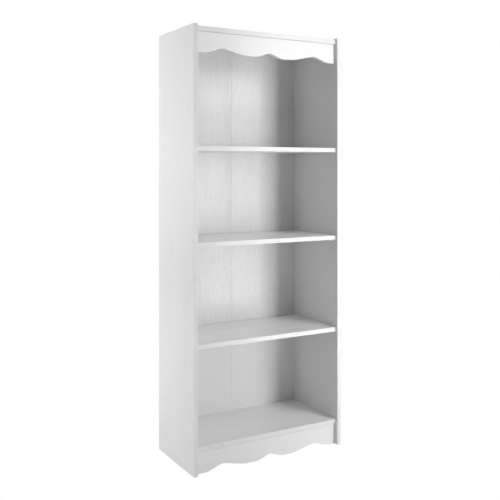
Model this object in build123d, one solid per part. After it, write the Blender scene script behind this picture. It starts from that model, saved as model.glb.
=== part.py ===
from build123d import *
import math
import os

# A tall flat-pack bookcase of laminated board. Two side panels hold a top panel, a fixed shelf
# and a bottom shelf, joined with one-piece furniture screws and dowels. Two more shelves rest on
# pins and can be drawn out. A scalloped valance and apron close the front above and below.
#
# Millimetres. +X is to the right, +Y to the rear, +Z up. The origin is on the floor, in the
# middle of the footprint.

# ---- the case ----
WIDTH = 610.0
DEPTH = 300.0
HEIGHT = 1524.0
SIDE_THICK = 15.0
SHELF_THICK = 16.0
RAIL_THICK = 15.5
BAND_THICK = 0.5
BACK_THICK = 2.7
TAPE_THICK = 0.3
SHELF_SETBACK = 10.0
RAIL_SETBACK = 17.0

# ---- heights above the floor ----
TOP_DROP = 5.5
FIXED_SHELF_BASE = 1096.0
BOTTOM_SHELF_BASE = 77.3
VALANCE_BASE = 1430.0
UPPER_PIN_HEIGHT = 765.5
LOWER_PIN_HEIGHT = 420.8

# ---- scalloped edge: X from its own middle line, which lies right of the rail's, and rise ----
SCALLOP_MIDDLE = 4.0
CENTRE_CREST = 17.5
CENTRE_FOOT_X = 48.0
INNER_FOOT_X = 104.0
OUTER_CREST_X = 192.0
OUTER_CREST = 20.5
OUTER_FOOT_X = 248.0
CENTRE_CREST_RADIUS = 25.0
CENTRE_FOOT_RADIUS = 75.0
INNER_FOOT_RADIUS = 210.0
OUTER_CREST_RADIUS = 53.0
OUTER_FOOT_RADIUS = 85.0
RAIL_EDGE_RADIUS = 1.0

# ---- the 32 mm hole system ----
COLUMN_SETBACK = 37.0
COLUMN_SPACING = 224.0
HOLE_STEP = 32.0
PIN_HOLE_RADIUS = 2.5
PIN_HOLE_DEPTH = 10.0

# ---- hardware ----
FIT = 0.05
SCREW_LENGTH = 50.0
SCREW_RADIUS = 3.5
SCREW_HEAD_RADIUS = 4.8
COVER_RADIUS = 5.0
COVER_THICK = 1.0
DOWEL_RADIUS = 4.0
DOWEL_LENGTH = 30.0
DOWEL_IN_SIDE = 10.0
SHELF_END_GAP = 1.0
SHELF_REAR_GAP = 2.0
PIN_NOSE_RADIUS = 4.0
PIN_NOSE_LENGTH = 9.0
BLOCK_LEG = 20.0
BLOCK_WIDTH = 34.0
BLOCK_WALL = 4.0
BLOCK_X = 150.0
BLOCK_HOLE = 12.0
BLOCK_SCREW_LENGTH = 14.0
BRACKET_X = 95.0
BRACKET_LEG = 26.0
BRACKET_DROP = 20.0
BRACKET_WIDTH = 16.0
BRACKET_THICK = 2.0
BRACKET_HOLE_RADIUS = 2.25
BRACKET_WALL_HOLE = 11.0
BRACKET_SHELF_HOLE = 16.0
BRACKET_SCREW_LENGTH = 14.0
SMALL_SCREW_RADIUS = 1.75
SMALL_HEAD_RADIUS = 3.5
NAIL_RADIUS = 0.8
NAIL_LENGTH = 20.0
NAIL_HEAD_RADIUS = 1.6
NAIL_ROW = 97.0
TAPE_WIDTH = 25.0
BACK_EDGE = 2.0
FOLD_GAP = 0.3

# ---- places worked out from the dimensions above ----
RIGHT = WIDTH / 2
INNER = WIDTH / 2 - SIDE_THICK
FRONT = -DEPTH / 2
REAR = DEPTH / 2
CASE_REAR = REAR - TAPE_THICK - BACK_THICK
SHELF_FRONT = FRONT + SHELF_SETBACK
RAIL_FRONT = FRONT + RAIL_SETBACK
RAIL_REAR = RAIL_FRONT + RAIL_THICK
RAIL_MIDDLE = (RAIL_FRONT + RAIL_REAR) / 2
TOP_PANEL_BASE = HEIGHT - TOP_DROP - SHELF_THICK
SCREWED_BASES = [BOTTOM_SHELF_BASE, FIXED_SHELF_BASE, TOP_PANEL_BASE]
COLUMNS = [FRONT + COLUMN_SETBACK, FRONT + COLUMN_SETBACK + COLUMN_SPACING]
DOWEL_COLUMNS = [COLUMNS[0] + HOLE_STEP, COLUMNS[1] - HOLE_STEP]
VALANCE_DOWELS = [VALANCE_BASE + 18.0, TOP_PANEL_BASE - 18.0]
APRON_DOWELS = [20.0, BOTTOM_SHELF_BASE - 18.0]
BLOCK_PLACES = [-BLOCK_X, BLOCK_X]
BRACKET_PLACES = [-BRACKET_X, BRACKET_X]
SIDES = [-1, 1]


def block(x_low, x_high, y_low, y_high, z_low, z_high):
    """A rectangular board between two corners."""
    size = (x_high - x_low, y_high - y_low, z_high - z_low)
    middle = ((x_low + x_high) / 2, (y_low + y_high) / 2, (z_low + z_high) / 2)
    return Pos(*middle) * Box(*size)


def rod(start, direction, radius, length):
    """A round bar, or the tool for a round hole, from start along direction."""
    return Plane(origin=start, z_dir=direction) * Cylinder(
        radius, length, align=(Align.CENTER, Align.CENTER, Align.MIN)
    )


def turned(points):
    """A solid turned about the Z axis from (radius, height) points, starting on the axis."""
    return revolve(make_face(Plane.XZ * Polyline(*points, close=True)), Axis.Z)


def placed(shape, start, direction):
    """The shape with its origin at start and its +Z along direction."""
    return Plane(origin=start, z_dir=direction) * shape


def soften_front(shape, radius):
    """Round the two long edges of the face that looks forward."""
    face = shape.faces().sort_by(Axis.Y)[0]
    edges = face.edges().sort_by(SortBy.LENGTH)[-2:]
    return fillet(edges, radius)


def save(name, solids):
    """Write one sub-part: a single solid, or a group of separate ones."""
    group = list(solids) if isinstance(solids, (list, tuple)) else [solids]
    shape = group[0] if len(group) == 1 else Compound(group)
    export_step(shape, f"parts/{name}.step")


# ---- screws ----
def ridges(core, crest, start, end, pitch):
    """Outline points of a thread drawn as rings, from start up to end."""
    count = math.floor((end - start) / pitch)
    points = []
    for turn in range(count):
        low = start + turn * pitch
        points += [(core, low), (crest, low + 0.45 * pitch), (crest, low + 0.55 * pitch)]
    return points + [(core, start + count * pitch)]


def connecting_screw():
    """One-piece furniture screw: countersunk head with a hexagon socket, neck and coarse thread."""
    neck_end = SIDE_THICK - COVER_THICK
    core = 2.6
    outline = [(0, 0), (SCREW_HEAD_RADIUS, 0), (SCREW_HEAD_RADIUS, 1.8), (SCREW_RADIUS, 3.2)]
    outline += [(SCREW_RADIUS, neck_end)]
    outline += ridges(core, SCREW_RADIUS, neck_end + 2.0, SCREW_LENGTH - 5.0, 4.0)
    outline += [(core, SCREW_LENGTH - 4.0), (0, SCREW_LENGTH)]
    socket = extrude(RegularPolygon(2.0, 6, major_radius=False), 2.4)
    return turned(outline) - socket


def screw_cover():
    """Round push-in cover whose stub sits in the screw's socket."""
    rim = 0.3
    outline = [(0, 0), (COVER_RADIUS - rim, 0), (COVER_RADIUS, rim), (COVER_RADIUS, COVER_THICK - 0.1)]
    outline += [(1.7, COVER_THICK - 0.1), (1.6, COVER_THICK + 1.8), (0, COVER_THICK + 1.8)]
    return turned(outline)


def screw_hole(side):
    """Recess, head pocket and through hole for one connecting screw, along +Z."""
    room = 2 * FIT
    outline = [(0, -1), (COVER_RADIUS + 0.2, -1), (COVER_RADIUS + 0.2, COVER_THICK)]
    outline += [(SCREW_HEAD_RADIUS + room, COVER_THICK), (SCREW_HEAD_RADIUS + room, COVER_THICK + 1.9)]
    outline += [(SCREW_RADIUS + room, COVER_THICK + 3.4), (SCREW_RADIUS + room, side + 1), (0, side + 1)]
    return turned(outline)


def small_screw(length):
    """Pan-head wood screw with a crossed recess; the head sits below Z = 0."""
    core = 1.2
    head = 2.0
    outline = [(0, -head), (SMALL_HEAD_RADIUS * 0.6, -head), (SMALL_HEAD_RADIUS * 0.9, -head * 0.7)]
    outline += [(SMALL_HEAD_RADIUS, -head * 0.3), (SMALL_HEAD_RADIUS, 0), (SMALL_SCREW_RADIUS, 0)]
    outline += ridges(core, SMALL_SCREW_RADIUS, 1.0, length - 3.0, 1.8)
    outline += [(core, length - 2.5), (0, length)]
    slot = Pos(0, 0, -head) * Box(0.8, 4.0, 2.4)
    return turned(outline) - slot - Rot(0, 0, 90) * slot


def nail():
    """Flat-headed panel pin; the head sits below Z = 0."""
    outline = [(0, -TAPE_THICK), (NAIL_HEAD_RADIUS, -TAPE_THICK), (NAIL_HEAD_RADIUS, 0)]
    outline += [(NAIL_RADIUS, 0), (NAIL_RADIUS, NAIL_LENGTH - 2.5), (0, NAIL_LENGTH)]
    return turned(outline)


def dowel(start, direction):
    """Wooden dowel with chamfered ends."""
    pin = rod(start, direction, DOWEL_RADIUS - FIT, DOWEL_LENGTH)
    return chamfer(pin.edges().filter_by(GeomType.CIRCLE), 1.0)


# ---- holes shared by the boards that meet ----
def screw_places(side):
    """Where the connecting screws of one side start, on its outer face."""
    return [(side * RIGHT, y, base + SHELF_THICK / 2) for base in SCREWED_BASES for y in COLUMNS]


def board_dowel_places(side):
    """Outer ends of the shelf dowels of one side."""
    x = side * (INNER + DOWEL_IN_SIDE)
    return [(x, y, base + SHELF_THICK / 2) for base in SCREWED_BASES for y in DOWEL_COLUMNS]


def rail_dowel_places(side, heights):
    """Outer ends of the dowels of one end of a rail."""
    return [(side * (INNER + DOWEL_IN_SIDE), RAIL_MIDDLE, z) for z in heights]


def dowel_hole(side, place):
    """The hole that one dowel fills, a little longer than the dowel at both ends."""
    x, y, z = place
    spare = 0.5
    return rod((x + side * spare, y, z), (-side, 0, 0), DOWEL_RADIUS, DOWEL_LENGTH + 2 * spare)


def nail_places():
    """Nails through the back board: down both sides, and across the three screwed boards."""
    low = BOTTOM_SHELF_BASE + SHELF_THICK / 2
    high = TOP_PANEL_BASE + SHELF_THICK / 2
    count = 11
    step = (high - low) / (count - 1)
    edge = INNER + SIDE_THICK / 2
    places = [(side * edge, low + i * step) for side in SIDES for i in range(count)]
    across = [i * NAIL_ROW for i in (-2.4, -1.5, -0.5, 0.5, 1.5, 2.4)]
    return places + [(x, base + SHELF_THICK / 2) for base in SCREWED_BASES for x in across]


def nail_holes():
    start = REAR - TAPE_THICK
    return [rod((x, start, z), (0, -1, 0), NAIL_RADIUS + FIT, NAIL_LENGTH) for x, z in nail_places()]


# ---- side panels ----
def side_panel(side):
    """Panel with its screw, dowel and nail holes, and three heights of pin holes for each shelf."""
    x_low, x_high = sorted((side * RIGHT, side * INNER))
    panel = block(x_low, x_high, FRONT + BAND_THICK, CASE_REAR, 0, HEIGHT - BAND_THICK)
    tools = [placed(screw_hole(SIDE_THICK), place, (-side, 0, 0)) for place in screw_places(side)]
    dowels = board_dowel_places(side) + rail_dowel_places(side, VALANCE_DOWELS + APRON_DOWELS)
    tools += [dowel_hole(side, place) for place in dowels]
    for middle in (UPPER_PIN_HEIGHT, LOWER_PIN_HEIGHT):
        for z in (middle - HOLE_STEP, middle, middle + HOLE_STEP):
            for y in COLUMNS:
                tools.append(rod((side * INNER, y, z), (side, 0, 0), PIN_HOLE_RADIUS, PIN_HOLE_DEPTH))
    return panel - tools - nail_holes()


def side_edge_band(side):
    """Thin bands glued to the front edge and to the top edge of a side panel."""
    x_low, x_high = sorted((side * RIGHT, side * INNER))
    front = block(x_low, x_high, FRONT, FRONT + BAND_THICK, 0, HEIGHT)
    top = block(x_low, x_high, FRONT + BAND_THICK, CASE_REAR, HEIGHT - BAND_THICK, HEIGHT)
    return [soften_front(front, 0.4), top]


# ---- shelves ----
def shelf(half_width, base, rear):
    """Plain board behind its edge band."""
    return block(-half_width, half_width, SHELF_FRONT + BAND_THICK, rear, base, base + SHELF_THICK)


def shelf_edge_band(half_width, base):
    band = block(-half_width, half_width, SHELF_FRONT, SHELF_FRONT + BAND_THICK, base, base + SHELF_THICK)
    return soften_front(band, 0.4)


def screwed_shelf(base):
    """Board between the sides, with screw, dowel and nail holes in its ends and rear edge."""
    board = shelf(INNER, base, CASE_REAR)
    middle = base + SHELF_THICK / 2
    depth = SCREW_LENGTH - SIDE_THICK + COVER_THICK + 1.0
    tools = []
    for side in SIDES:
        tools += [rod((side * INNER, y, middle), (-side, 0, 0), SCREW_RADIUS + FIT, depth) for y in COLUMNS]
        tools += [dowel_hole(side, place) for place in board_dowel_places(side) if place[2] == middle]
    tools += [hole for hole in nail_holes() if abs(hole.center().Z - middle) < 1.0]
    return board - tools


# ---- scalloped rails ----
def scalloped_rail(base, top):
    """Board whose lower edge is two long outer scallops and a short one in the middle."""
    right = [(CENTRE_FOOT_X, 0), (INNER_FOOT_X, 0), (OUTER_CREST_X, OUTER_CREST), (OUTER_FOOT_X, 0)]
    left = [(-x, rise) for x, rise in reversed(right)]
    wave = [(SCALLOP_MIDDLE + x, base + rise) for x, rise in left + [(0, CENTRE_CREST)] + right]
    radii = [OUTER_FOOT_RADIUS, OUTER_CREST_RADIUS, INNER_FOOT_RADIUS, CENTRE_FOOT_RADIUS]
    radii += [CENTRE_CREST_RADIUS] + radii[::-1]
    edge = FilletPolyline((-INNER, base), *wave, (INNER, base), radius=radii)
    outline = edge + Polyline((INNER, base), (INNER, top), (-INNER, top), (-INNER, base))
    face = Plane((0, RAIL_FRONT, 0), x_dir=(1, 0, 0), z_dir=(0, -1, 0)) * make_face(outline)
    rail = extrude(face, -RAIL_THICK)
    front = rail.faces().sort_by(Axis.Y)[0]
    scallops = [edge for edge in front.edges() if edge.center().Z < (base + top) / 2
                and abs(edge.center().X) < INNER - 1]
    return fillet(scallops, RAIL_EDGE_RADIUS)


def rail_screw_place(x, corner, up):
    """Where a block's screw enters the rail, for a block below (up = -1) or above its shelf."""
    return (x, RAIL_REAR + BLOCK_WALL, corner + up * BLOCK_HOLE)


def shelf_screw_place(x, corner, up):
    """Where a block's screw enters the shelf."""
    return (x, RAIL_REAR + BLOCK_HOLE, corner + up * BLOCK_WALL)


def block_screw_holes(corner, radius):
    """Holes for the screws of both blocks that hang below a board whose underside is at corner."""
    holes = []
    for x in BLOCK_PLACES:
        holes.append(rod(rail_screw_place(x, corner, -1), (0, -1, 0), radius, BLOCK_SCREW_LENGTH + 0.5))
        holes.append(rod(shelf_screw_place(x, corner, -1), (0, 0, 1), radius, BLOCK_SCREW_LENGTH + 0.5))
    return holes


def rail(base, top, dowels):
    """Scalloped rail with its dowel holes and screw holes."""
    tools = [dowel_hole(side, place) for side in SIDES for place in rail_dowel_places(side, dowels)]
    return scalloped_rail(base, top) - tools - block_screw_holes(top, SMALL_SCREW_RADIUS + FIT)


def corner_blocks(corner):
    """Moulded angle blocks with two end gussets, behind a rail and under a board."""
    blocks = []
    for x in BLOCK_PLACES:
        x_low = x - BLOCK_WIDTH / 2
        x_high = x + BLOCK_WIDTH / 2
        leg = block(x_low, x_high, RAIL_REAR, RAIL_REAR + BLOCK_WALL, corner - BLOCK_LEG, corner)
        foot = block(x_low, x_high, RAIL_REAR, RAIL_REAR + BLOCK_LEG, corner - BLOCK_WALL, corner)
        angle = leg + foot
        low = corner - BLOCK_LEG
        for edge in (x_low, x_high - 3.0):
            rib = Plane((edge, 0, 0), x_dir=(0, 1, 0), z_dir=(1, 0, 0)) * make_face(
                Polyline((RAIL_REAR, corner), (RAIL_REAR + BLOCK_LEG, corner), (RAIL_REAR, low), close=True)
            )
            angle += extrude(rib, 3.0)
        blocks.append(angle - block_screw_holes(corner, SMALL_SCREW_RADIUS + 0.25))
    return blocks


def corner_block_screws():
    screws = []
    for corner in (TOP_PANEL_BASE, BOTTOM_SHELF_BASE):
        for x in BLOCK_PLACES:
            screws.append(placed(small_screw(BLOCK_SCREW_LENGTH), rail_screw_place(x, corner, -1), (0, -1, 0)))
            screws.append(placed(small_screw(BLOCK_SCREW_LENGTH), shelf_screw_place(x, corner, -1), (0, 0, 1)))
    return screws


# ---- wall brackets ----
def bracket_screw_place(x):
    return (x, CASE_REAR - BRACKET_SHELF_HOLE, TOP_PANEL_BASE - BRACKET_THICK)


def wall_hole(x, depth):
    """Hole for a wall screw, through a bracket and the back board."""
    start = (x, CASE_REAR - BRACKET_THICK - 1, TOP_PANEL_BASE - BRACKET_WALL_HOLE)
    return rod(start, (0, 1, 0), BRACKET_HOLE_RADIUS, depth)


def wall_brackets():
    """Bent steel angles under the rear of the top panel, one leg down the back board."""
    brackets = []
    top = TOP_PANEL_BASE
    for x in BRACKET_PLACES:
        corners = [(CASE_REAR - BRACKET_LEG, top), (CASE_REAR, top), (CASE_REAR, top - BRACKET_DROP)]
        corners += [(CASE_REAR - BRACKET_THICK, top - BRACKET_DROP)]
        corners += [(CASE_REAR - BRACKET_THICK, top - BRACKET_THICK)]
        corners += [(CASE_REAR - BRACKET_LEG, top - BRACKET_THICK)]
        plane = Plane((x - BRACKET_WIDTH / 2, 0, 0), x_dir=(0, 1, 0), z_dir=(1, 0, 0))
        strip = extrude(plane * make_face(Polyline(*corners, close=True)), BRACKET_WIDTH)
        bend = [edge for edge in strip.edges().filter_by(Axis.X)
                if abs(edge.center().Y - CASE_REAR) < 0.1 and abs(edge.center().Z - top) < 0.1]
        strip = fillet(bend, BRACKET_THICK)
        screw_entry = bracket_screw_place(x)
        strip -= rod((x, screw_entry[1], screw_entry[2] - 1), (0, 0, 1), BRACKET_HOLE_RADIUS, 4)
        brackets.append(strip - wall_hole(x, 4.0))
    return brackets


def bracket_screws():
    screw = small_screw(BRACKET_SCREW_LENGTH)
    return [placed(screw, bracket_screw_place(x), (0, 0, 1)) for x in BRACKET_PLACES]


# ---- back board ----
def back_board(side):
    """Half of the folded back board, over the rear edges of the case."""
    x_low, x_high = sorted((side * FOLD_GAP / 2, side * (RIGHT - BACK_EDGE)))
    low = BOTTOM_SHELF_BASE + BACK_EDGE
    high = TOP_PANEL_BASE + SHELF_THICK - BACK_EDGE
    board = block(x_low, x_high, CASE_REAR, CASE_REAR + BACK_THICK, low, high)
    holes = [hole for hole in nail_holes() if hole.center().X * side > 0]
    return board - holes - [wall_hole(x, 10.0) for x in BRACKET_PLACES]


def fold_tape():
    """Flexible tape that joins the halves along their rear faces."""
    low = BOTTOM_SHELF_BASE + BACK_EDGE
    high = TOP_PANEL_BASE + SHELF_THICK - BACK_EDGE
    half = TAPE_WIDTH / 2
    return block(-half, half, REAR - TAPE_THICK, REAR, low, high)


def back_nails():
    start = REAR - TAPE_THICK
    return [placed(nail(), (x, start, z), (0, -1, 0)) for x, z in nail_places()]


# ---- shelf pins ----
def shelf_pin(side, y, z):
    """Peg in a side panel whose flat-topped nose carries the shelf."""
    nose_top = PIN_HOLE_RADIUS
    peg = rod((side * (INNER + PIN_HOLE_DEPTH - 1.0), y, z), (-side, 0, 0), PIN_HOLE_RADIUS - FIT,
              PIN_HOLE_DEPTH - 1.0)
    nose = rod((side * INNER, y, z), (-side, 0, 0), PIN_NOSE_RADIUS, PIN_NOSE_LENGTH)
    tip = nose.faces().sort_by(Axis.X)[0 if side > 0 else -1]
    nose = fillet(tip.edges(), 1.0)
    x_low, x_high = sorted((side * INNER, side * (INNER - PIN_NOSE_LENGTH)))
    flat = block(x_low, x_high, y - 5, y + 5, z + nose_top, z + 5)
    return peg + (nose - flat)


def shelf_pins(z):
    return [shelf_pin(side, y, z) for side in SIDES for y in COLUMNS]


# ---- build ----
def main():
    os.makedirs("parts", exist_ok=True)
    for side, name in ((-1, "left"), (1, "right")):
        save(f"{name}_side_panel", side_panel(side))
        save(f"{name}_side_edge_band", side_edge_band(side))
        save(f"back_board_{name}", back_board(side))

    top = screwed_shelf(TOP_PANEL_BASE) - block_screw_holes(TOP_PANEL_BASE, SMALL_SCREW_RADIUS + FIT)
    for x in BRACKET_PLACES:
        top -= rod(bracket_screw_place(x), (0, 0, 1), SMALL_SCREW_RADIUS + FIT, BRACKET_SCREW_LENGTH + 0.5)
    save("top_panel", top)
    save("fixed_shelf", screwed_shelf(FIXED_SHELF_BASE))
    bottom = screwed_shelf(BOTTOM_SHELF_BASE)
    save("bottom_shelf", bottom - block_screw_holes(BOTTOM_SHELF_BASE, SMALL_SCREW_RADIUS + FIT))
    for name, base in zip(("bottom_shelf", "fixed_shelf", "top_panel"), SCREWED_BASES):
        save(f"{name}_edge_band", shelf_edge_band(INNER, base))

    loose = INNER - SHELF_END_GAP
    for name, pin_height in (("upper", UPPER_PIN_HEIGHT), ("lower", LOWER_PIN_HEIGHT)):
        base = pin_height + PIN_HOLE_RADIUS
        save(f"{name}_adjustable_shelf", shelf(loose, base, CASE_REAR - SHELF_REAR_GAP))
        save(f"{name}_adjustable_shelf_edge_band", shelf_edge_band(loose, base))
        save(f"{name}_shelf_pins", shelf_pins(pin_height))

    save("top_valance", rail(VALANCE_BASE, TOP_PANEL_BASE, VALANCE_DOWELS))
    save("base_apron", rail(0, BOTTOM_SHELF_BASE, APRON_DOWELS))
    save("back_fold_tape", fold_tape())
    save("back_board_nails", back_nails())

    screws, covers, dowels = [], [], []
    for side in SIDES:
        inward = (-side, 0, 0)
        for x, y, z in screw_places(side):
            screws.append(placed(connecting_screw(), (x - side * COVER_THICK, y, z), inward))
            covers.append(placed(screw_cover(), (x - side * 0.05, y, z), inward))
        dowels += [dowel(place, inward) for place in board_dowel_places(side)]
    save("connecting_screws", screws)
    save("screw_covers", covers)
    save("shelf_dowels", dowels)
    for name, heights in (("valance_dowels", VALANCE_DOWELS), ("apron_dowels", APRON_DOWELS)):
        save(name, [dowel(place, (-side, 0, 0)) for side in SIDES for place in rail_dowel_places(side, heights)])

    save("valance_corner_blocks", corner_blocks(TOP_PANEL_BASE))
    save("apron_corner_blocks", corner_blocks(BOTTOM_SHELF_BASE))
    save("corner_block_screws", corner_block_screws())
    save("wall_brackets", wall_brackets())
    save("wall_bracket_screws", bracket_screws())


main()
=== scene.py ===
"""Looks for the scalloped bookcase: materials on the CAD nodes, soft light and the camera."""

import math

import bpy
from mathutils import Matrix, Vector


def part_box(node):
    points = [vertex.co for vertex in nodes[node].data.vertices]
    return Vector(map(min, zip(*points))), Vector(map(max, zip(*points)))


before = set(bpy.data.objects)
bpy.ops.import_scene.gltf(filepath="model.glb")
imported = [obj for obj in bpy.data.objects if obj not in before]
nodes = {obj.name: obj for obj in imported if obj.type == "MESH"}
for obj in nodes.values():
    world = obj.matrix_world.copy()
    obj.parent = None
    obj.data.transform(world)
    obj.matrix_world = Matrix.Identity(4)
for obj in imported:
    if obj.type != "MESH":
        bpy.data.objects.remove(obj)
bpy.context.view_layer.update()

X, Y, Z = 0, 1, 2
MILLIMETRE = 0.001
FOIL_DEPTH = 0.3 * MILLIMETRE

SHELVES = [
    "top_panel",
    "fixed_shelf",
    "bottom_shelf",
    "upper_adjustable_shelf",
    "lower_adjustable_shelf",
]
DOWELS = ["shelf_dowels", "valance_dowels", "apron_dowels"]
SCREWS_AND_NAILS = [
    "connecting_screws",
    "corner_block_screws",
    "wall_bracket_screws",
    "back_board_nails",
]
PINS_AND_BLOCKS = [
    "upper_shelf_pins",
    "lower_shelf_pins",
    "valance_corner_blocks",
    "apron_corner_blocks",
]

# ---- colours ----
WHITE_SIDE = (0.76, 0.76, 0.76)
# The shelves carry the sides' foil; their white is painted lighter to stand in for the extra light
# the shelf tops get from above.
WHITE_SHELF_PAINTED_LIGHTER = (0.84, 0.84, 0.84)
WHITE_RAIL = (0.81, 0.81, 0.81)
WHITE_BAND = (0.77, 0.77, 0.77)
WHITE_PRINT = (0.825, 0.825, 0.825)
WHITE_TAPE = (0.74, 0.73, 0.70)
WHITE_TAPE_WRINKLE = (0.68, 0.67, 0.64)
WHITE_COVER = (0.69, 0.69, 0.69)
WHITE_PLASTIC = (0.78, 0.78, 0.77)
CHIP_LIGHT = (0.62, 0.46, 0.28)
CHIP_DARK = (0.30, 0.19, 0.10)
HARDBOARD = (0.26, 0.16, 0.085)
HARDBOARD_PALE = (0.36, 0.235, 0.135)
BEECH = (0.68, 0.46, 0.27)
BEECH_LINE = (0.55, 0.34, 0.18)
BEECH_FLECK = (0.36, 0.20, 0.10)
ZINC = (0.60, 0.60, 0.58)
BRACKET_ZINC = (0.66, 0.66, 0.65)


def dimmed(colour, factor):
    return tuple(factor * channel for channel in colour)


# ---- shader building ----
class Graph:
    """A material's node tree, with one short call for each kind of node."""

    def __init__(self, name):
        self.material = bpy.data.materials.new(name)
        self.material.use_nodes = True
        self.tree = self.material.node_tree
        self.tree.nodes.clear()
        self.output = self.add("ShaderNodeOutputMaterial")
        self.surface = self.add("ShaderNodeBsdfPrincipled")
        self.link(self.surface.outputs["BSDF"], self.output.inputs["Surface"])

    def add(self, kind, **settings):
        node = self.tree.nodes.new(kind)
        for key, value in settings.items():
            setattr(node, key, value)
        return node

    def link(self, source, target):
        self.tree.links.new(source, target)

    def feed(self, target, value):
        """Link an output to an input, or set the input to a constant."""
        if isinstance(value, bpy.types.NodeSocket):
            self.link(value, target)
        else:
            target.default_value = value

    def shader(self, **inputs):
        """Set or link inputs of the surface shader; names are written with underscores."""
        for key, value in inputs.items():
            self.feed(self.surface.inputs[key.replace("_", " ")], value)

    def place(self):
        """Position on the object, in metres in the shared frame."""
        return self.add("ShaderNodeTexCoord").outputs["Object"]

    def axes(self, vector):
        """The vector's three parts, to be picked by X, Y or Z."""
        split = self.add("ShaderNodeSeparateXYZ")
        self.link(vector, split.inputs[0])
        return split.outputs

    def stretched(self, scale, shift=(0, 0, 0)):
        """Position times a scale per axis; the shift gives a piece its own part of a pattern."""
        mapping = self.add("ShaderNodeMapping")
        self.link(self.place(), mapping.inputs["Vector"])
        mapping.inputs["Scale"].default_value = scale
        mapping.inputs["Location"].default_value = shift
        return mapping.outputs["Vector"]

    def noise(self, vector, scale=1.0, detail=3.0, roughness=0.5, distortion=0.0):
        node = self.add("ShaderNodeTexNoise")
        self.link(vector, node.inputs["Vector"])
        node.inputs["Scale"].default_value = scale
        node.inputs["Detail"].default_value = detail
        node.inputs["Roughness"].default_value = roughness
        node.inputs["Distortion"].default_value = distortion
        return node.outputs["Fac"]

    def compute(self, operation, first, second=0.0):
        node = self.add("ShaderNodeMath", operation=operation)
        self.feed(node.inputs[0], first)
        self.feed(node.inputs[1], second)
        return node.outputs[0]

    def span(self, value, low, high, to_low=0.0, to_high=1.0):
        """value taken from low..high to to_low..to_high, and held at the ends."""
        node = self.add("ShaderNodeMapRange", clamp=True)
        node.inputs["From Min"].default_value = low
        node.inputs["From Max"].default_value = high
        node.inputs["To Min"].default_value = to_low
        node.inputs["To Max"].default_value = to_high
        self.link(value, node.inputs["Value"])
        return node.outputs["Result"]

    def varied(self, pattern, low, high):
        """A level that follows a noise pattern from low to high."""
        return self.span(pattern, 0.3, 0.7, low, high)

    def blend(self, factor, first, second):
        """Colour mix; colours are written as RGB triples."""
        node = self.add("ShaderNodeMix", data_type="RGBA", clamp_factor=True)
        self.feed(node.inputs["Factor"], factor)
        for socket, colour in ((node.inputs[6], first), (node.inputs[7], second)):
            self.feed(socket, (*colour, 1.0) if isinstance(colour, tuple) else colour)
        return node.outputs[2]

    def tinted(self, pattern, colour, factor):
        """The colour, dimmed by a factor where a noise pattern is high."""
        return self.blend(self.span(pattern, 0.35, 0.7), colour, dimmed(colour, factor))

    def bump(self, height, distance, normal=None):
        """Relief of height times distance, in metres, on top of another relief if one is given."""
        node = self.add("ShaderNodeBump")
        node.inputs["Distance"].default_value = distance
        self.link(height, node.inputs["Height"])
        if normal is not None:
            self.link(normal, node.inputs["Normal"])
        return node.outputs["Normal"]

    def paint(self, *names):
        """Give this material to CAD nodes."""
        for name in names:
            materials = nodes[name].data.materials
            materials.clear()
            materials.append(self.material)


# ---- patterns ----
def chips(graph):
    """Colour and height of a sawn particle board edge."""
    flakes = graph.add("ShaderNodeTexVoronoi", feature="F1")
    graph.link(graph.stretched((300, 300, 520)), flakes.inputs["Vector"])
    flakes.inputs["Scale"].default_value = 1.0
    tone = graph.axes(flakes.outputs["Color"])[0]
    dust = graph.noise(graph.place(), scale=900.0, detail=2.0)
    colour = graph.blend(graph.compute("MULTIPLY", tone, dust), CHIP_LIGHT, CHIP_DARK)
    return colour, tone


def streaks(graph, along, seed, fine_width=420.0, fine_length=6.0):
    """Fine lines of wood grain that run along one axis, and broad bands of them."""
    fine = [fine_width] * 3
    broad = [60.0] * 3
    fine[along] = fine_length
    broad[along] = 1.1
    lines = graph.noise(graph.stretched(tuple(fine), (seed, seed, seed)), detail=4.0, roughness=0.6)
    bands = graph.noise(graph.stretched(tuple(broad), (seed, 0, seed)), detail=3.0, distortion=0.4)
    return lines, bands


def ash_grain(graph, heart, seed):
    """Embossed ash: growth lines arched about a heart line, long fibres and short pores."""
    arch_width = 16.0
    arch_rise = 0.85
    growth_lines = 9.0
    place = graph.axes(graph.place())
    wander = graph.noise(graph.stretched((9.0, 9.0, 3.0), (seed, 0, seed)), detail=3.0)
    across = graph.compute("MULTIPLY", graph.compute("SUBTRACT", place[X], heart), arch_width)
    across = graph.compute("POWER", graph.compute("ABSOLUTE", across), 2.0)
    arch = graph.compute("ADD", across, graph.compute("MULTIPLY", place[Z], arch_rise))
    arch = graph.compute("ADD", arch, wander)
    growth = graph.compute("FRACT", graph.compute("MULTIPLY", arch, growth_lines))
    growth = graph.compute("POWER", growth, 3.0)
    fibres, bands = streaks(graph, Z, seed, fine_width=150.0, fine_length=8.0)
    pores = graph.noise(graph.stretched((420, 420, 70), (seed, seed, 0)), detail=2.0)
    pores = graph.span(pores, 0.42, 0.7)
    growth = graph.compute("MULTIPLY", growth, graph.compute("MULTIPLY", bands, pores))
    growth = graph.compute("MULTIPLY", growth, 0.9)
    grain = graph.compute("ADD", growth, graph.span(fibres, 0.3, 0.7, 0.0, 0.4))
    return graph.compute("ADD", grain, graph.compute("MULTIPLY", pores, 0.35))


def fold_crease_shade(graph, from_fold, height, reach, seed):
    """Painted shade of thin wavy crease lines beside the fold, which fades sideways and towards the
    bottom.
    """
    wander = graph.noise(graph.stretched((90, 90, 6), (seed, 0, seed)), detail=2.0)
    off_line = graph.compute("ABSOLUTE", graph.compute("SUBTRACT", wander, 0.5))
    line = graph.span(off_line, 0.0, 0.05, 1.0, 0.0)
    sideways = graph.span(from_fold, 0.3 * reach, reach, 1.0, 0.0)
    fade = graph.compute("MULTIPLY", sideways, graph.span(height, 0.4, 0.6))
    return graph.compute("MULTIPLY", line, fade)


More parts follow.
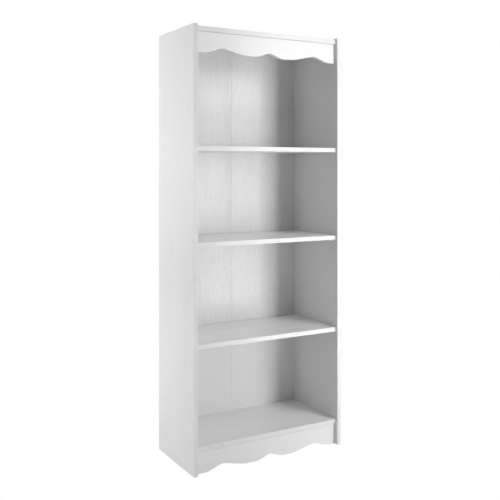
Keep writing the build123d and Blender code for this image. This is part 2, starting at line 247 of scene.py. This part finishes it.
def print_contrast(graph, pattern, height):
    """The pattern at full contrast above the lowest compartment, and nearly even inside it."""
    even_level = 0.45
    kept_contrast = 0.3
    low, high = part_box("lower_adjustable_shelf")
    contrast = graph.span(height, low.z, high.z, kept_contrast, 1.0)
    levelling = graph.span(height, low.z, high.z, even_level * (1 - kept_contrast), 0.0)
    return graph.compute("ADD", graph.compute("MULTIPLY", pattern, contrast), levelling)


# ---- boards ----
def paint_foil_board(name, colour, gloss, grain_axis, faces_axis, seed):
    """White foil with an embossed grain on the board's two faces, bare particle board elsewhere."""
    graph = Graph(f"foil_{name}")
    lines, bands = streaks(graph, grain_axis, seed)
    cloud = graph.noise(graph.place(), scale=3.5, detail=2.0)
    foil = graph.blend(graph.span(bands, 0.35, 0.65), colour, dimmed(colour, 0.985))
    foil = graph.blend(graph.span(cloud, 0.45, 0.9), foil, dimmed(colour, 0.96))
    chip_colour, chip_height = chips(graph)

    position = graph.axes(graph.place())[faces_axis]
    low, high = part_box(name)
    to_low = graph.compute("ABSOLUTE", graph.compute("SUBTRACT", position, low[faces_axis]))
    to_high = graph.compute("ABSOLUTE", graph.compute("SUBTRACT", position, high[faces_axis]))
    bare = graph.compute("GREATER_THAN", graph.compute("MINIMUM", to_low, to_high), FOIL_DEPTH)

    relief = graph.bump(lines, 0.05 * MILLIMETRE)
    relief = graph.bump(graph.compute("MULTIPLY", chip_height, bare), 0.4 * MILLIMETRE, relief)
    dullness = graph.compute("MULTIPLY", bare, 0.5)
    graph.shader(
        Base_Color=graph.blend(bare, foil, chip_colour),
        Roughness=graph.compute("ADD", graph.varied(lines, 0.26, 0.36), dullness),
        Specular_IOR_Level=gloss,
        Normal=relief,
    )
    graph.paint(name)


def paint_side_panels():
    paint_foil_board("left_side_panel", WHITE_SIDE, 0.5, Z, X, seed=3.0)
    paint_foil_board("right_side_panel", WHITE_SIDE, 0.35, Z, X, seed=11.0)


def paint_shelves():
    for number, name in enumerate(SHELVES):
        # Painted light: the shelves use a lighter copy of the sides' white.
        paint_foil_board(name, WHITE_SHELF_PAINTED_LIGHTER, 0.41, X, Z, seed=2.0 + 5 * number)


def paint_rail(name, shadow_line_width, shadow_line_tone):
    """Smooth foil drawn over a fibreboard rail, with a painted shadow line along its top, under the
    overhanging board above.
    """
    graph = Graph(f"foil_{name}")
    lines, bands = streaks(graph, X, 7.0)
    foil = graph.tinted(bands, WHITE_RAIL, 0.985)
    # Painted shadow: the rail's top strip is dimmed to stand in for the shade under the overhanging
    # board above.
    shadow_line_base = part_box(name)[1].z - shadow_line_width
    painted_shadow_line = graph.compute("GREATER_THAN", graph.axes(graph.place())[Z], shadow_line_base)
    graph.shader(
        Base_Color=graph.blend(painted_shadow_line, foil, dimmed(WHITE_RAIL, shadow_line_tone)),
        Roughness=graph.varied(lines, 0.28, 0.36),
        Normal=graph.bump(lines, 0.03 * MILLIMETRE),
    )
    graph.paint(name)


def paint_edge_bands():
    """Semi-gloss plastic strip with a faint lengthwise draw."""
    graph = Graph("edge_band")
    waves = graph.noise(graph.place(), scale=25.0, detail=2.0)
    draw = graph.noise(graph.place(), scale=900.0, detail=1.0)
    graph.shader(
        Base_Color=graph.tinted(waves, WHITE_BAND, 0.985),
        Roughness=graph.varied(waves, 0.27, 0.33),
        Normal=graph.bump(draw, 0.015 * MILLIMETRE),
    )
    graph.paint(*[name for name in nodes if name.endswith("edge_band")])


def paint_back_board(name, heart, seed, fold_slope, crease_shade_reach):
    """White print with an embossed grain in front, bare hardboard behind and in the holes."""
    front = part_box(name)[0].y
    graph = Graph(f"print_{name}")
    place = graph.axes(graph.place())
    from_fold = graph.compute("ABSOLUTE", place[X])
    grain = ash_grain(graph, heart, seed)
    crease_shade = fold_crease_shade(graph, from_fold, place[Z], crease_shade_reach, seed)
    pattern = print_contrast(graph, graph.span(grain, 0.15, 0.55), place[Z])
    printed = graph.blend(pattern, WHITE_PRINT, dimmed(WHITE_PRINT, 0.87))
    # Painted shade: the print is darkened along thin wavy lines beside the fold, standing in for
    # shade in small crinkles of the print film.
    printed = graph.blend(crease_shade, printed, dimmed(WHITE_PRINT, 0.87))
    fibre = graph.noise(graph.place(), scale=260.0, detail=4.0, roughness=0.7)
    hardboard = graph.blend(graph.span(fibre, 0.35, 0.65), HARDBOARD, HARDBOARD_PALE)
    bare = graph.compute("GREATER_THAN", place[Y], front + FOIL_DEPTH)

    fold_reach = graph.span(place[Z], 0.95, 1.2, 18 * MILLIMETRE, 36 * MILLIMETRE)
    relief = graph.bump(graph.compute("MINIMUM", from_fold, fold_reach), fold_slope)
    relief = graph.bump(graph.compute("SUBTRACT", 1.0, grain), 0.02 * MILLIMETRE, relief)
    relief = graph.bump(graph.compute("MULTIPLY", fibre, bare), 0.3 * MILLIMETRE, relief)
    dullness = graph.compute("MULTIPLY", bare, 0.45)
    graph.shader(
        Base_Color=graph.blend(bare, printed, hardboard),
        Specular_IOR_Level=0.42,
        Roughness=graph.compute("ADD", graph.span(grain, 0.15, 0.85, 0.25, 0.33), dullness),
        Normal=relief,
    )
    graph.paint(name)


# ---- small pieces ----
def paint_tape():
    """Wrinkled paper tape."""
    graph = Graph("fold_tape")
    wrinkle = graph.noise(graph.stretched((90, 90, 14)), detail=3.0, distortion=1.0)
    graph.shader(
        Base_Color=graph.blend(graph.span(wrinkle, 0.4, 0.7), WHITE_TAPE, WHITE_TAPE_WRINKLE),
        Roughness=graph.varied(wrinkle, 0.38, 0.52),
        Normal=graph.bump(wrinkle, 0.25 * MILLIMETRE),
    )
    graph.paint("back_fold_tape")


def paint_zinc(name, colour, targets):
    """Zinc plating: pale metal with a crystalline mottle and fine scuffs."""
    graph = Graph(name)
    mottle = graph.noise(graph.place(), scale=700.0, detail=4.0)
    scuff = graph.noise(graph.stretched((2500, 300, 2500)), detail=2.0)
    graph.shader(
        Metallic=1.0,
        Base_Color=graph.tinted(mottle, colour, 0.75),
        Roughness=graph.varied(scuff, 0.26, 0.44),
        Normal=graph.bump(scuff, 0.02 * MILLIMETRE),
    )
    graph.paint(*targets)


def paint_plastic(name, colour, roughness, targets):
    """Moulded plastic with a fine spark-eroded texture."""
    graph = Graph(name)
    grit = graph.noise(graph.place(), scale=2200.0, detail=2.0)
    flow = graph.noise(graph.place(), scale=80.0, detail=2.0)
    graph.shader(
        Base_Color=graph.tinted(flow, colour, 0.96),
        Roughness=graph.varied(grit, roughness - 0.05, roughness + 0.05),
        Normal=graph.bump(grit, 0.02 * MILLIMETRE),
    )
    graph.paint(*targets)


def paint_dowels():
    """Bare beech with flecks along each dowel."""
    graph = Graph("beech")
    lines, bands = streaks(graph, X, 5.0)
    fleck = graph.noise(graph.stretched((260, 1400, 1400)), detail=2.0)
    wood = graph.blend(graph.span(lines, 0.35, 0.65), BEECH, BEECH_LINE)
    graph.shader(
        Base_Color=graph.blend(graph.span(fleck, 0.62, 0.75), wood, BEECH_FLECK),
        Roughness=graph.varied(bands, 0.55, 0.7),
        Normal=graph.bump(fleck, 0.05 * MILLIMETRE),
    )
    graph.paint(*DOWELS)


# ---- stage ----
def make_camera():
    """Eye level, from the front left, looking level with the picture shifted down."""
    data = bpy.data.cameras.new("camera")
    data.sensor_width = 36.0
    data.lens = 53.9
    data.shift_x = -0.0035
    data.shift_y = -0.164
    data.clip_end = 60.0
    camera = bpy.data.objects.new("camera", data)
    camera.location = (-1.3961, -2.4147, 1.0370)
    camera.rotation_euler = (math.radians(90), 0, -0.526)
    bpy.context.scene.collection.objects.link(camera)
    bpy.context.scene.camera = camera


def white_to_camera(tree, surface, target, emitter):
    """Pure white to the camera, and another shader for the light that reaches the object."""
    path = tree.nodes.new("ShaderNodeLightPath")
    mix = tree.nodes.new("ShaderNodeMixShader")
    emitter.inputs["Color"].default_value = (1, 1, 1, 1)
    emitter.inputs["Strength"].default_value = 1.0
    tree.links.new(path.outputs["Is Camera Ray"], mix.inputs["Fac"])
    tree.links.new(surface, mix.inputs[1])
    tree.links.new(emitter.outputs[0], mix.inputs[2])
    tree.links.new(mix.outputs[0], target)


def make_floor():
    """White studio floor."""
    half = 12.0
    mesh = bpy.data.meshes.new("floor")
    corners = [(-half, -half, 0), (half, -half, 0), (half, half, 0), (-half, half, 0)]
    mesh.from_pydata(corners, [], [(0, 1, 2, 3)])
    floor = bpy.data.objects.new("floor", mesh)
    bpy.context.scene.collection.objects.link(floor)
    graph = Graph("studio_floor")
    graph.shader(Base_Color=(0.8, 0.8, 0.8, 1.0), Roughness=0.9)
    emitter = graph.add("ShaderNodeEmission")
    shaded = graph.surface.outputs["BSDF"]
    white_to_camera(graph.tree, shaded, graph.output.inputs["Surface"], emitter)
    mesh.materials.append(graph.material)


def make_world():
    """White backdrop that adds only a little light of its own."""
    world = bpy.data.worlds.new("studio")
    world.use_nodes = True
    tree = world.node_tree
    dim = tree.nodes["Background"]
    dim.inputs["Color"].default_value = (1, 1, 1, 1)
    dim.inputs["Strength"].default_value = 0.135
    emitter = tree.nodes.new("ShaderNodeBackground")
    white_to_camera(tree, dim.outputs[0], tree.nodes["World Output"].inputs["Surface"], emitter)
    bpy.context.scene.world = world


def soft_light(name, place, facing, size, radiance):
    """Rectangular soft box; size is (width, height) in metres."""
    width, height = size
    data = bpy.data.lights.new(name, "AREA")
    data.shape = "RECTANGLE"
    data.size = width
    data.size_y = height
    data.energy = math.pi * width * height * radiance
    light = bpy.data.objects.new(name, data)
    light.location = place
    light.rotation_euler = Vector(facing).to_track_quat("-Z", "Y").to_euler()
    light.visible_camera = False
    bpy.context.scene.collection.objects.link(light)


def make_lights():
    """Soft boxes: key and strips in front on the right, sheets on the left, weak fill all round."""
    to_rear = (0, 1, 0)
    to_front = (0, -1, 0)
    to_right = (1, 0, 0)
    to_left = (-1, 0, 0)
    down = (0, 0, -1)
    up = (0, 0, 1)
    soft_light("key", (0.93, -2.45, 0.9), to_rear, (0.24, 0.6), 13.2)
    soft_light("key_top", (1.05, -2.45, 2.3), to_rear, (0.47, 0.6), 1.7)
    soft_light("strip_low", (0.75, -1.3, 0.31), to_rear, (0.4, 0.58), 7.2)
    soft_light("strip_middle", (0.75, -1.3, 0.9), to_rear, (0.4, 0.6), 5.7)
    soft_light("strip_high", (0.75, -1.3, 1.55), to_rear, (0.4, 0.7), 8.8)
    soft_light("left_low", (-2.2, 1.6, 0.6), to_right, (1.6, 0.4), 5.8)
    soft_light("left_middle", (-2.2, 1.6, 1.2), to_right, (1.6, 0.8), 10.4)
    soft_light("left_high", (-2.2, 1.6, 2.35), to_right, (1.6, 0.5), 8.6)
    soft_light("left_sheen", (-2.2, 4.2, 1.32), (1.9, -4.2, 0), (2.2, 1.95), 0.5)
    soft_light("left_front", (-2.2, -1.6, 0.61), to_right, (1.6, 1.18), 0.63)
    soft_light("right_front", (2.6, -1.5, 0.61), to_left, (1.4, 1.18), 0.97)
    soft_light("overhead", (0, -1.6, 3.0), down, (3.0, 1.6), 1.07)
    soft_light("floor_bounce", (1.0, -1.05, 0.02), up, (2.4, 1.1), 0.43)
    soft_light("right_fill", (1.6, 0.5, 1.1), to_left, (0.9, 1.6), 1.6)
    soft_light("rear_fill", (0.1, 1.5, 1.1), to_front, (0.8, 1.6), 2.2)
    soft_light("top_fill", (0, 0.02, 2.1), down, (0.5, 0.2), 3.6)


def make_everything():
    paint_side_panels()
    paint_shelves()
    # Each rail's painted shadow line: its width, and how far the rail's white is dimmed in it.
    paint_rail("top_valance", 2 * MILLIMETRE, 0.65)
    paint_rail("base_apron", 5 * MILLIMETRE, 0.84)
    paint_edge_bands()
    paint_back_board("back_board_left", -0.06, 1.0, fold_slope=0.038, crease_shade_reach=42 * MILLIMETRE)
    paint_back_board("back_board_right", 0.19, 23.0, fold_slope=0.0, crease_shade_reach=22 * MILLIMETRE)
    paint_tape()
    paint_zinc("zinc_steel", ZINC, SCREWS_AND_NAILS)
    paint_zinc("bracket_steel", BRACKET_ZINC, ["wall_brackets"])
    paint_plastic("cover_plastic", WHITE_COVER, 0.45, ["screw_covers"])
    paint_plastic("pin_plastic", WHITE_PLASTIC, 0.35, PINS_AND_BLOCKS)
    paint_dowels()
    make_camera()
    make_floor()
    make_world()
    make_lights()
    bpy.context.scene.view_settings.view_transform = "Standard"


make_everything()
